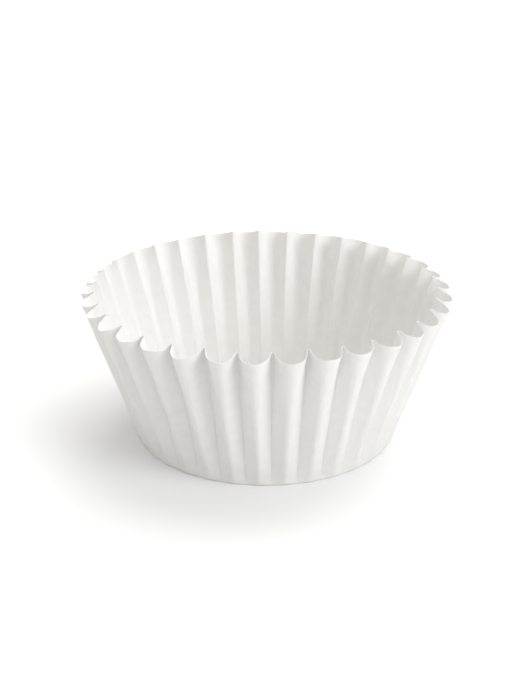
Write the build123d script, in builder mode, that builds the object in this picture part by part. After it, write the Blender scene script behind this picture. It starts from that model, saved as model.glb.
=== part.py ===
"""A fluted paper baking cup, pressed from one flat disc of greaseproof paper.

Millimetres, +Z up. The origin is the centre of the underside of the flat base, the middle
of an outward lobe lies on +X, and the wall leans outwards up to the open, cut edge.
"""

import os
from math import acos, degrees, sqrt

from build123d import *

# The cup
base_diameter = 50.0  # across the lobes, at the fold between base and wall
rim_diameter = 69.6  # across the lobes, at the cut edge
wall_length = 30.0  # up the slope, from the fold to the cut edge
paper = 0.1  # thickness of the sheet

# The flutes: broad outward lobes, straight flanks and narrow inward creases
flute_count = 34
base_flute_depth = 0.3  # from lobe to crease, at the fold
rim_flute_depth = 2.8  # from lobe to crease, at the cut edge
base_roundness = 0.85  # lobe radius, as a share of the one that leaves no straight flank
rim_roundness = 0.9
crease_radius = 0.25  # inside the bend, on the outer face of the sheet
lobe_drop = 0.4  # height that a lobe loses at the cut edge, because its line bows outwards

# The wall is drawn this far above its highest point and then cut back to its edge
trim_allowance = 1.0

pitch_angle = 360 / flute_count
crease_angle = pitch_angle / 2  # from the middle of a lobe to the next crease
base_reach = base_diameter / 2
rim_reach = rim_diameter / 2


def edge_height(base_radius, rim_radius):
    """Height that a line of the wall reaches in one wall_length."""
    return sqrt(wall_length**2 - (rim_radius - base_radius) ** 2)


lobe_height = edge_height(base_reach, rim_reach) - lobe_drop
crease_height = edge_height(base_reach - base_flute_depth, rim_reach - rim_flute_depth)
drawn_height = crease_height + trim_allowance


def edge_cone_height(radius):
    """Height, at a radius, of the cone through the cut edge's crease tips and lobe tops."""
    fall = (crease_height - lobe_height) / rim_flute_depth
    return lobe_height + fall * (rim_reach - radius)


def at_height(height, at_base, at_rim, rim_height):
    """A size that changes evenly up the wall, at the height given."""
    return at_base + (at_rim - at_base) * height / rim_height


def widest_lobe(lobe_reach, crease_centre):
    """Radius of the lobe arc that would run straight into the crease arc."""
    gap = lobe_reach - crease_centre.X
    return (gap**2 + crease_centre.Y**2 - crease_radius**2) / (2 * (crease_radius + gap))


def flute_points(lobe_reach, crease_reach, roundness, inset):
    """The ends and middle of one lobe arc, and of the crease arc that follows it, on the
    outer face of the sheet or, with inset, that far inside it."""
    crease_centre = Vector(crease_reach + crease_radius, 0).rotate(Axis.Z, crease_angle)
    lobe_radius = roundness * widest_lobe(lobe_reach, crease_centre)
    lobe_centre = Vector(lobe_reach - lobe_radius, 0)
    between = crease_centre - lobe_centre
    lean = degrees(acos((lobe_radius + crease_radius) / between.length))
    square_to_flank = between.normalized().rotate(Axis.Z, -lean)

    lobe_top = Vector(lobe_reach - inset, 0)
    lobe_end = lobe_centre + square_to_flank * (lobe_radius - inset)
    lobe_start = Vector(lobe_end.X, -lobe_end.Y)
    crease_start = crease_centre - square_to_flank * (crease_radius + inset)
    crease_tip = Vector(crease_reach - inset, 0).rotate(Axis.Z, crease_angle)
    crease_end = Vector(crease_start.X, -crease_start.Y).rotate(Axis.Z, pitch_angle)
    return lobe_start, lobe_top, lobe_end, crease_start, crease_tip, crease_end


def wall_section(height, inset=0.0):
    """Level section of all that lies within the wall's outer face, or inset from it."""
    lobe_reach = at_height(height, base_reach, rim_reach, lobe_height)
    crease_reach = at_height(
        height, base_reach - base_flute_depth, rim_reach - rim_flute_depth, crease_height
    )
    roundness = at_height(height, base_roundness, rim_roundness, crease_height)
    points = flute_points(lobe_reach, crease_reach, roundness, inset)
    with BuildSketch(Plane.XY.offset(height)) as section:
        with BuildLine():
            for index in range(flute_count):
                turned = [point.rotate(Axis.Z, index * pitch_angle) for point in points]
                lobe_start, lobe_top, lobe_end, crease_start, crease_tip, crease_end = turned
                ThreePointArc(lobe_start, lobe_top, lobe_end)
                Line(lobe_end, crease_start)
                ThreePointArc(crease_start, crease_tip, crease_end)
                Line(crease_end, lobe_start.rotate(Axis.Z, pitch_angle))
        make_face()
    return section.sketch


# One sheet: the flat base and the fluted wall
with BuildPart() as liner:
    loft([wall_section(0), wall_section(drawn_height)], ruled=True)
    inner_sections = [wall_section(paper, inset=paper), wall_section(drawn_height, inset=paper)]
    loft(inner_sections, ruled=True, mode=Mode.SUBTRACT)
    # The cut edge: every line of the wall is equally long, and the creases lean out least,
    # so they stand higher than the lobes, and the edge lies on a shallow cone
    with BuildSketch(Plane.XZ):
        with BuildLine():
            Polyline(
                (0, edge_cone_height(0)),
                (rim_diameter, edge_cone_height(rim_diameter)),
                (rim_diameter, edge_cone_height(0)),
                close=True,
            )
        make_face()
    revolve(axis=Axis.Z, mode=Mode.SUBTRACT)

os.makedirs("parts", exist_ok=True)
liner.part.label = "liner"
export_step(liner.part, "parts/liner.step")
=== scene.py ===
"""Looks of the cupcake liner: one pressed sheet of greaseproof paper on a pale floor.

The sheet is worked out in millimetres and given to Blender in metres. Each of its points
also keeps its place on the flat disc that such a cup is pressed from, for the material. The
frame's liner gives the cup's rim, base and place.
"""

from math import cos, hypot, pi, radians, sin, sqrt

import bpy
import numpy as np
from mathutils import Euler, Matrix, Vector, noise


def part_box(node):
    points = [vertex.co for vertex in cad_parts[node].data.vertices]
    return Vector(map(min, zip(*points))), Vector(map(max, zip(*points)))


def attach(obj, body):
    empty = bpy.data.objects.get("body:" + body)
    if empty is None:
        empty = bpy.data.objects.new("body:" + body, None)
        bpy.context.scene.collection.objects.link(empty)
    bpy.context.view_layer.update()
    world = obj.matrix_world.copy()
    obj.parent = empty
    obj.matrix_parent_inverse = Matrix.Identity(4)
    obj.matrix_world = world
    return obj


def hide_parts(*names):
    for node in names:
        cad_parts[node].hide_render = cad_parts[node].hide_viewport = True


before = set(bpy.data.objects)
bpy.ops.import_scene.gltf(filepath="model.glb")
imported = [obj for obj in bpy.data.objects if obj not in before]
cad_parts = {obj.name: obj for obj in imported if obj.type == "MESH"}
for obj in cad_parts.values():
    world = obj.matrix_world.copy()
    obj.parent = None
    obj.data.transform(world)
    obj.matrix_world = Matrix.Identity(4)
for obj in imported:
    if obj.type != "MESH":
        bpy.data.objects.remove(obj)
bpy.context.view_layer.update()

MM = 0.001
SEED = 34

# --- The cup's size and place, from the frame -------------------------------------------
CUP_LOW, CUP_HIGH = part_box("liner")
RIM_REACH = CUP_HIGH.x / MM  # across the lobes, at the cut edge
FLOOR_Z = CUP_LOW.z  # metres
FLOOR_SKIN = 0.01  # a point this little above the floor is on the base's underside
BASE_REACH = max(
    hypot(v.co.x, v.co.y)
    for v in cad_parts["liner"].data.vertices
    if v.co.z < FLOOR_Z + FLOOR_SKIN * MM
) / MM

# --- The cup's form, in millimetres -----------------------------------------------------
WALL_LENGTH = 30.0  # up the slope, from the fold to the cut edge
PAPER = 0.06  # thinner than the CAD's sheet, and nearer to real paper
FLUTES = 34
RIM_DEPTH = 2.8  # from lobe to crease
BASE_DEPTH = 0.1
DEPTH_POWER = 0.6  # the flutes deepen fastest just above the fold
BASE_ROUNDNESS = 0.4  # lobe radius, as a share of the one that leaves no flank
RIM_ROUNDNESS = 0.96
ROUNDNESS_POWER = 3  # only the top of the wall is round, and lower down it is two flat flanks
CREASE_RADIUS = 0.25
LOBE_DROP = 0.4  # height that a lobe loses at the cut edge, because its line bows outwards
BASE_DOME = 0.12  # how far the middle of the base stands off the floor
BASE_FADE = 1.2  # the flutes die away over about this distance into the base

PITCH = 2 * pi / FLUTES
HALF = PITCH / 2

# --- How far the sheet is out of true, in millimetres -----------------------------------
CREASE_SPREAD = 0.035  # in the creases' depths, as a share of each
OVAL = 0.12
RIPPLE = 0.10
SIDEWAYS = 0.0035  # radians round the cup
EDGE_TRIM = 0.07  # up and down, at the cut edge
TRIM_POWER = 4  # the edge's unevenness stays near the edge
COCKLE_BROAD = 0.10
COCKLE_SMALL = 0.045
BROAD_WAVES = 0.13  # of the noise, in each millimetre
SMALL_WAVES = 0.45
SMALL_SHIFT = Vector((9, 4, 2))  # takes the small noise from another place than the broad one
COCKLE_RISE = 6.0  # the cockling grows from nothing at the floor to its full size here

# --- The mesh's grid, in millimetres ----------------------------------------------------
LOBE_STEPS, FLANK_STEPS, CREASE_STEPS = 5, 4, 4
HALF_STEPS = LOBE_STEPS + FLANK_STEPS + CREASE_STEPS
COLUMNS = 2 * HALF_STEPS * FLUTES
FOLD = 0.3  # how far each side of the fold line its bend reaches
LOW_ROWS = (0.3, 0.5, 0.8, 1.2, 1.7, 2.3, 3.0)
ROW_STEP = 0.72
# Rings of the base, by distance from the fold: each group has half the last one's columns
BASE_ROWS = ((-0.3, -0.6, -1.0, -1.6, -2.4), (-3.4, -4.8, -6.6), (-9.0, -12.5, -17.0, -21.0))

# --- The paper --------------------------------------------------------------------------
PAPER_DARK = (0.862, 0.861, 0.851, 1)
PAPER_LIGHT = (0.898, 0.899, 0.894, 1)
LIGHT_THROUGH = (0.90, 0.85, 0.73, 1)
SHARE_THROUGH = 0.14
FIBRE_HEIGHT = 0.02  # this and the heights below in millimetres
STREAK_HEIGHT = 0.2
WRINKLE_HEIGHT = 0.08
STREAK_STRETCH = 0.05  # a streak's noise runs this many times as fast along it as across it
STREAK_FADE = 2.0  # distance up the wall over which the streaks come in, above the fold
BLACK = (0, 0, 0, 1)
WHITE = (1, 1, 1, 1)


def widest_lobe(lobe_reach, centre_x, centre_y):
    """Radius of the lobe arc that would run straight into the crease arc."""
    gap = lobe_reach - centre_x
    return (gap**2 + centre_y**2 - CREASE_RADIUS**2) / (2 * (CREASE_RADIUS + gap))


def half_flute(lobe_reach, depth, roundness):
    """Points of a level section from the top of a lobe to the tip of the next crease."""
    centre = (lobe_reach - depth + CREASE_RADIUS) * np.array((cos(HALF), sin(HALF)))
    lobe_radius = roundness * widest_lobe(lobe_reach, *centre)
    lobe_centre = np.array((lobe_reach - lobe_radius, 0.0))
    between = centre - lobe_centre
    length = hypot(*between)
    lean = np.arccos((lobe_radius + CREASE_RADIUS) / length)
    turn = np.arctan2(between[1], between[0]) - lean

    def ray(angles):
        return np.stack((np.cos(angles), np.sin(angles)), -1)

    lobe = lobe_centre + lobe_radius * ray(np.linspace(0, turn, LOBE_STEPS + 1))
    crease = centre - CREASE_RADIUS * ray(np.linspace(turn, HALF, CREASE_STEPS + 1))
    shares = np.linspace(0, 1, FLANK_STEPS + 1)[1:-1, None]
    flank = lobe[-1] + shares * (crease[0] - lobe[-1])
    return np.concatenate((lobe, flank, crease))


def level_section(up):
    """Angle, lobe reach and inward set of every column, at this distance up the wall."""
    share = up / WALL_LENGTH
    lobe_reach = BASE_REACH + (RIM_REACH - BASE_REACH) * share
    depth = BASE_DEPTH + (RIM_DEPTH - BASE_DEPTH) * share**DEPTH_POWER
    roundness = BASE_ROUNDNESS + (RIM_ROUNDNESS - BASE_ROUNDNESS) * share**ROUNDNESS_POWER
    half = half_flute(lobe_reach, depth, roundness)
    angle = np.arctan2(half[:, 1], half[:, 0])
    inward = lobe_reach - np.hypot(half[:, 0], half[:, 1])
    angle = np.concatenate((angle[:-1], PITCH - angle[:0:-1]))
    inward = np.concatenate((inward[:-1], inward[:0:-1]))
    turns = np.repeat(np.arange(FLUTES) * PITCH, 2 * HALF_STEPS)
    return np.tile(angle, FLUTES) + turns, lobe_reach, np.tile(inward, FLUTES)


def ring_noise(rng, orders, size):
    """A smooth random function of the angle round the cup, of about this size.

    The orders are the numbers of waves round the cup that it is made of.
    """
    heights = rng.normal(0, 1, len(orders))
    starts = rng.uniform(0, 2 * pi, len(orders))
    scale = size / sqrt(len(orders) / 2)

    def value(angle):
        waves = heights * np.cos(np.multiply.outer(angle, orders) + starts)
        return scale * waves.sum(-1)

    return value


rng = np.random.default_rng(SEED)
crease_depths = 1 + rng.normal(0, CREASE_SPREAD, FLUTES)
oval = ring_noise(rng, np.arange(2, 6), OVAL)
ripple = ring_noise(rng, np.arange(8, 26), RIPPLE)
sideways = ring_noise(rng, np.arange(5, 30), SIDEWAYS)
edge_trim = ring_noise(rng, np.arange(3, 90), EDGE_TRIM)


def wall_rows(ups):
    """The wall's points, row by row, from the fold up.

    Each column climbs so that it has its flat length, and then loses the height that the
    lobes' drop and the edge's unevenness take.
    """
    plan, sag = [], []
    for up in ups:
        share = up / WALL_LENGTH
        angle, reach, inward = level_section(up)
        crease = np.floor(angle / PITCH).astype(int) % FLUTES
        inward = inward * (1 + (crease_depths[crease] - 1) * share)
        radius = reach - inward + share * (oval(angle) + ripple(angle))
        turned = angle + share * sideways(angle)
        plan.append(np.stack((radius * np.cos(turned), radius * np.sin(turned)), -1))
        drop = LOBE_DROP * share**2 * (1 - inward / inward.max())
        sag.append(drop + edge_trim(angle) * share**TRIM_POWER)
    plan = np.array(plan)
    heights = np.zeros(plan.shape[:2])
    for row in range(1, len(ups)):
        across = ((plan[row] - plan[row - 1]) ** 2).sum(-1)
        climb = np.sqrt(np.maximum((ups[row] - ups[row - 1]) ** 2 - across, 0))
        heights[row] = heights[row - 1] + climb
    heights -= np.array(sag)
    return np.concatenate((plan, heights[..., None]), -1)


def base_ring(down, columns):
    """A ring of the base, this far inside the fold (a negative distance)."""
    angle, _, inward = level_section(0.0)
    fade = np.exp(down / BASE_FADE)
    radius = BASE_REACH + down - inward * fade
    height = BASE_DOME * (1 - (radius / BASE_REACH) ** 2)
    ring = np.stack((radius * np.cos(angle), radius * np.sin(angle), height), -1)
    return ring[:: COLUMNS // columns]


def sheet_rings():
    """Every ring of the sheet, from the rim inwards: its points and distance up the wall."""
    wall_ups = [0.0, *LOW_ROWS]
    steps = round((WALL_LENGTH - LOW_ROWS[-1]) / ROW_STEP)
    wall_ups += list(np.linspace(LOW_ROWS[-1], WALL_LENGTH, steps + 1)[1:])
    wall = wall_rows(wall_ups)
    corner, wall, wall_ups = wall[0], wall[1:], wall_ups[1:]
    outer = base_ring(-FOLD, COLUMNS)
    bend = []  # the fold is a curve from the base's outer ring to the wall's lowest row
    for u in (0.25, 0.5, 0.75):
        bend.append((1 - u) ** 2 * outer + 2 * u * (1 - u) * corner + u**2 * wall[0])
    rings = []
    for up, points in zip(reversed(wall_ups), wall[::-1]):
        rings.append((points, up))
    for u, points in zip((0.5, 0.0, -0.5), reversed(bend)):
        rings.append((points, u * FOLD))
    for level, downs in enumerate(BASE_ROWS):
        for down in downs:
            rings.append((base_ring(down, COLUMNS >> level), down))
    return rings


def ring_faces(start, count, next_start, next_count):
    """Faces between a ring and the next one in, which has as many points or half as many."""
    faces = []
    if count == next_count:
        for i in range(count):
            j = (i + 1) % count
            faces.append((start + i, start + j, next_start + j, next_start + i))
        return faces
    for k in range(next_count):
        i, j = 2 * k, (2 * k + 2) % count
        here, there = next_start + k, next_start + (k + 1) % next_count
        faces.append((start + i, start + i + 1, here))
        faces.append((start + i + 1, start + j, there, here))
    return faces


def sheet_mesh():
    """Middle surface of the sheet: points, faces, flat places and places along the flutes."""
    points, flat, along, faces, starts = [], [], [], [], []
    rings = sheet_rings()
    for ring, up in rings:
        starts.append(sum(len(p) for p in points))
        points.append(ring)
        flat_angle = np.arange(len(ring)) * 2 * pi / len(ring)
        ways = np.stack((np.cos(flat_angle), np.sin(flat_angle), np.zeros(len(ring))), -1)
        flat.append((BASE_REACH + up) * ways)
        along.append(BASE_REACH * ways + (0, 0, up * STREAK_STRETCH))
    for here in range(len(rings) - 1):
        count, next_count = len(rings[here][0]), len(rings[here + 1][0])
        faces += ring_faces(starts[here], count, starts[here + 1], next_count)
    last, count = starts[-1], len(rings[-1][0])
    centre = last + count
    points.append(np.array([(0.0, 0.0, BASE_DOME)]))
    flat.append(np.zeros((1, 3)))
    along.append(np.zeros((1, 3)))
    for i in range(count):
        faces.append((last + i, last + (i + 1) % count, centre))
    points = np.concatenate(points)
    points[:, 2] += PAPER / 2
    return points, faces, np.concatenate(flat), np.concatenate(along)


def cockle(points):
    """Moves the sheet slightly out of true, as damp and handling leave thin paper."""
    moved = points.copy()
    radius = np.hypot(points[:, 0], points[:, 1])
    for index, (point, reach) in enumerate(zip(points, radius)):
        share = min(max(point[2] / COCKLE_RISE, 0.0), 1.0)
        if share <= 0 or reach == 0:  # the middle of the base has no outward way
            continue
        broad = noise.noise(Vector(point) * BROAD_WAVES) * COCKLE_BROAD
        small = noise.noise(Vector(point) * SMALL_WAVES + SMALL_SHIFT) * COCKLE_SMALL
        moved[index, :2] += point[:2] / reach * (broad + small) * share
    return moved


def surface_normals(points, faces):
    """The normal at each point, along which the sheet gets its thickness."""
    middle = bpy.data.meshes.new("middle")
    middle.from_pydata(points, [], faces)
    normals = np.empty(len(points) * 3, np.float32)
    middle.vertex_normals.foreach_get("vector", normals)
    bpy.data.meshes.remove(middle)
    return normals.reshape(-1, 3)


def sharpen_rim(mesh, count):
    """Marks the edges that run round the rim, so that the cut edge stays crisp.

    Each side of the sheet has this many points, and its first ring is its rim.
    """
    ends = np.empty(len(mesh.edges) * 2, np.int32)
    mesh.edges.foreach_get("vertices", ends)
    ends = ends.reshape(-1, 2)
    in_rim = (ends % count < COLUMNS).all(1)
    same_side = ends[:, 0] // count == ends[:, 1] // count
    sharp = mesh.attributes.new("sharp_edge", "BOOLEAN", "EDGE")
    sharp.data.foreach_set("value", in_rim & same_side)


def make_sheet(material):
    """The sheet as one closed mesh: two sides and the cut edge between them."""
    points, faces, flat, along = sheet_mesh()
    points = cockle(points)
    normals = surface_normals(points, faces)
    count = len(points)
    sides = np.concatenate((points + normals * PAPER / 2, points - normals * PAPER / 2))
    back = [tuple(count + i for i in reversed(face)) for face in faces]
    after = [(i + 1) % COLUMNS for i in range(COLUMNS)]
    edge = [(i, count + i, count + after[i], after[i]) for i in range(COLUMNS)]
    mesh = bpy.data.meshes.new("liner_paper")
    mesh.from_pydata(sides * MM, [], faces + back + edge)
    mesh.shade_smooth()
    sharpen_rim(mesh, count)
    for name, values in (("flat_place", flat), ("along_flutes", along)):
        place = mesh.attributes.new(name, "FLOAT_VECTOR", "POINT")
        place.data.foreach_set("vector", np.tile(values, (2, 1)).astype(np.float32).ravel())
    mesh.materials.append(material)
    mesh.validate()
    sheet = bpy.data.objects.new("liner_paper", mesh)
    bpy.context.scene.collection.objects.link(sheet)
    return sheet


# --- Materials --------------------------------------------------------------------------
def node(tree, kind, at, **values):
    """A new node at this place, with its inputs, or else its settings, set by name."""
    made = tree.nodes.new(kind)
    made.location = at
    for name, value in values.items():
        if name in made.inputs:
            made.inputs[name].default_value = value
        else:
            setattr(made, name, value)
    return made


def ramp(tree, at, stops):
    """A colour ramp through these stops, each a position and a colour."""
    made = node(tree, "ShaderNodeValToRGB", at)
    elements = made.color_ramp.elements
    for element, (position, colour) in zip(elements, (stops[0], stops[-1])):
        element.position = position
        element.color = colour
    for position, colour in stops[1:-1]:
        elements.new(position).color = colour
    return made


def new_material(name):
    made = bpy.data.materials.new(name)
    made.use_nodes = True
    made.node_tree.nodes.clear()
    return made


def cloudy_colour(tree, place):
    link = tree.links.new
    clouds = node(tree, "ShaderNodeTexNoise", (-900, 200), Scale=0.55, Detail=6.0, Roughness=0.6)
    colour = ramp(tree, (-650, 200), ((0.3, PAPER_DARK), (0.7, PAPER_LIGHT)))
    link(place.outputs["Vector"], clouds.inputs["Vector"])
    link(clouds.outputs["Fac"], colour.inputs["Fac"])
    return colour


def fibre_bump(tree, place):
    link = tree.links.new
    fibres = node(tree, "ShaderNodeTexNoise", (-900, -150), Scale=3.5, Detail=5.0, Roughness=0.65)
    bump = node(tree, "ShaderNodeBump", (-350, -200), Strength=0.35, Distance=FIBRE_HEIGHT * MM)
    link(place.outputs["Vector"], fibres.inputs["Vector"])
    link(fibres.outputs["Fac"], bump.inputs["Height"])
    return bump


def streak_bump(tree, below):
    """Streaks that the press leaves along the wall. They fade out just above the fold."""
    link = tree.links.new
    pressed = node(tree, "ShaderNodeAttribute", (-1200, -500), attribute_name="along_flutes")
    streaks = node(tree, "ShaderNodeTexNoise", (-900, -500), Scale=2.4, Detail=3.0, Roughness=0.6)
    link(pressed.outputs["Vector"], streaks.inputs["Vector"])
    up_wall = node(tree, "ShaderNodeSeparateXYZ", (-900, -650))
    link(pressed.outputs["Vector"], up_wall.inputs["Vector"])
    on_wall = node(tree, "ShaderNodeMath", (-650, -650), operation="MULTIPLY", use_clamp=True)
    on_wall.inputs[1].default_value = 1 / (STREAK_FADE * STREAK_STRETCH)
    link(up_wall.outputs["Z"], on_wall.inputs[0])
    centred = node(tree, "ShaderNodeMath", (-650, -500), operation="SUBTRACT")
    centred.inputs[1].default_value = 0.5
    link(streaks.outputs["Fac"], centred.inputs[0])
    height = node(tree, "ShaderNodeMath", (-450, -500), operation="MULTIPLY")
    link(centred.outputs["Value"], height.inputs[0])
    link(on_wall.outputs["Value"], height.inputs[1])
    bump = node(tree, "ShaderNodeBump", (-200, -400), Strength=0.75, Distance=STREAK_HEIGHT * MM)
    link(height.outputs["Value"], bump.inputs["Height"])
    link(below.outputs["Normal"], bump.inputs["Normal"])
    return bump


def wrinkle_bump(tree, place, below):
    """A few sharp wrinkles, in patches: the lines along which a noise crosses its middle."""
    link = tree.links.new
    crossing = node(tree, "ShaderNodeTexNoise", (-900, -800), Scale=0.2, Detail=1.0, Distortion=0.2)
    lines = ramp(tree, (-650, -800), ((0.475, BLACK), (0.5, WHITE), (0.525, BLACK)))
    link(place.outputs["Vector"], crossing.inputs["Vector"])
    link(crossing.outputs["Fac"], lines.inputs["Fac"])
    spread = node(tree, "ShaderNodeTexNoise", (-900, -1100), Scale=0.10, Detail=1.0)
    patches = ramp(tree, (-650, -1100), ((0.54, BLACK), (0.66, WHITE)))
    link(place.outputs["Vector"], spread.inputs["Vector"])
    link(spread.outputs["Fac"], patches.inputs["Fac"])
    height = node(tree, "ShaderNodeMath", (-350, -900), operation="MULTIPLY")
    link(lines.outputs["Color"], height.inputs[0])
    link(patches.outputs["Color"], height.inputs[1])
    bump = node(tree, "ShaderNodeBump", (-100, -700), Strength=0.5, Distance=WRINKLE_HEIGHT * MM)
    link(height.outputs["Value"], bump.inputs["Height"])
    link(below.outputs["Normal"], bump.inputs["Normal"])
    return bump


def paper_material():
    made = new_material("greaseproof_paper")
    tree = made.node_tree
    link = tree.links.new
    place = node(tree, "ShaderNodeAttribute", (-1200, 0), attribute_name="flat_place")
    colour = cloudy_colour(tree, place)
    relief = wrinkle_bump(tree, place, streak_bump(tree, fibre_bump(tree, place)))
    face = node(tree, "ShaderNodeBsdfPrincipled", (-50, 200), Roughness=0.62)
    face.inputs["Specular IOR Level"].default_value = 0.35
    through = node(tree, "ShaderNodeBsdfTranslucent", (-50, -250))
    through.inputs["Color"].default_value = LIGHT_THROUGH
    link(colour.outputs["Color"], face.inputs["Base Color"])
    link(relief.outputs["Normal"], face.inputs["Normal"])
    mix = node(tree, "ShaderNodeMixShader", (250, 0))
    mix.inputs["Fac"].default_value = SHARE_THROUGH
    link(face.outputs["BSDF"], mix.inputs[1])
    link(through.outputs["BSDF"], mix.inputs[2])
    out = node(tree, "ShaderNodeOutputMaterial", (450, 0))
    link(mix.outputs["Shader"], out.inputs["Surface"])
    return made


def floor_material():
    """Matt and pale; the camera sees a whiter floor, which keeps its shadow."""
    made = new_material("floor_white")
    tree = made.node_tree
    link = tree.links.new
    pale = node(tree, "ShaderNodeBsdfDiffuse", (-200, 100))
    pale.inputs["Color"].default_value = FLOOR_PALE
    white = node(tree, "ShaderNodeBsdfDiffuse", (-200, -100))
    white.inputs["Color"].default_value = FLOOR_SEEN
    path = node(tree, "ShaderNodeLightPath", (-200, 400))
    mix = node(tree, "ShaderNodeMixShader", (200, 100))
    out = node(tree, "ShaderNodeOutputMaterial", (400, 100))
    link(path.outputs["Is Camera Ray"], mix.inputs["Fac"])
    link(pale.outputs[0], mix.inputs[1])
    link(white.outputs[0], mix.inputs[2])
    link(mix.outputs[0], out.inputs["Surface"])
    return made


# --- The studio -------------------------------------------------------------------------
# The camera's side of the cup falls between two flutes: the studio is turned to match
STUDIO_TURN = Matrix.Rotation(radians(-2.25), 4, "Z")
CAMERA_PLACE = (-0.32, -222.2, 112.4)  # millimetres, over the floor
CAMERA_PITCH = radians(23.54)
LENS = 65.0
SENSOR = 36.0
FLOOR_REACH = 6.0  # metres, from the cup to each side
FLOOR_PALE = (0.74, 0.74, 0.74, 1)
FLOOR_SEEN = (0.865, 0.868, 0.875, 1)  # what the camera sees of it
FILL_LEVEL = 0.785
FILL_COLOUR = (1.0, 0.99, 0.968, 1)


def add_camera():
    data = bpy.data.cameras.new("camera")
    data.lens = LENS
    data.sensor_width = SENSOR
    data.clip_start, data.clip_end = 0.01, 20
    camera = bpy.data.objects.new("camera", data)
    bpy.context.scene.collection.objects.link(camera)
    spot = Matrix.Translation(Vector(CAMERA_PLACE) * MM)
    tilt = Euler((pi / 2 - CAMERA_PITCH, 0, 0)).to_matrix().to_4x4()
    camera.matrix_world = STUDIO_TURN @ spot @ tilt
    bpy.context.scene.camera = camera


def add_lamp(name, azimuth, elevation, side, watts, colour):
    """A soft square lamp a metre from the cup, aimed at it. Azimuth 0 is to the right."""
    data = bpy.data.lights.new(name, "AREA")
    data.shape = "SQUARE"
    data.size = side
    data.energy = watts
    data.color = colour
    lamp = bpy.data.objects.new(name, data)
    bpy.context.scene.collection.objects.link(lamp)
    azimuth, elevation = radians(azimuth), radians(elevation)
    level = cos(elevation)
    here = Vector((level * cos(azimuth), level * sin(azimuth), sin(elevation)))
    facing = (-here).to_track_quat("-Z", "Y").to_matrix().to_4x4()
    lamp.matrix_world = STUDIO_TURN @ Matrix.Translation(here) @ facing


def add_floor():
    mesh = bpy.data.meshes.new("floor")
    signs = ((-1, -1), (1, -1), (1, 1), (-1, 1))
    corners = [(x * FLOOR_REACH, y * FLOOR_REACH, FLOOR_Z) for x, y in signs]
    mesh.from_pydata(corners, [], [(0, 1, 2, 3)])
    mesh.materials.append(floor_material())
    floor = bpy.data.objects.new("floor", mesh)
    bpy.context.scene.collection.objects.link(floor)


def set_world():
    """An even fill light, and white where the camera sees past the floor."""
    world = bpy.data.worlds.new("studio")
    bpy.context.scene.world = world
    world.use_nodes = True
    tree = world.node_tree
    tree.nodes.clear()
    link = tree.links.new
    path = node(tree, "ShaderNodeLightPath", (-400, 200))
    fill = node(tree, "ShaderNodeBackground", (-200, 0), Strength=FILL_LEVEL)
    fill.inputs["Color"].default_value = FILL_COLOUR
    seen = node(tree, "ShaderNodeBackground", (-200, -200), Strength=1.0)
    seen.inputs["Color"].default_value = WHITE
    mix = node(tree, "ShaderNodeMixShader", (0, 0))
    out = node(tree, "ShaderNodeOutputWorld", (200, 0))
    link(path.outputs["Is Camera Ray"], mix.inputs["Fac"])
    link(fill.outputs[0], mix.inputs[1])
    link(seen.outputs[0], mix.inputs[2])
    link(mix.outputs[0], out.inputs["Surface"])


add_floor()
set_world()
add_lamp("key", -33, 30, 0.5, 4.15, (0.97, 0.985, 1.0))
add_lamp("back", 62, 65, 0.8, 5.7, (1.0, 1.0, 1.0))
add_camera()
scene = bpy.context.scene
scene.view_settings.view_transform = "Standard"

sheet = make_sheet(paper_material())
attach(sheet, "root")
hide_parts("liner")
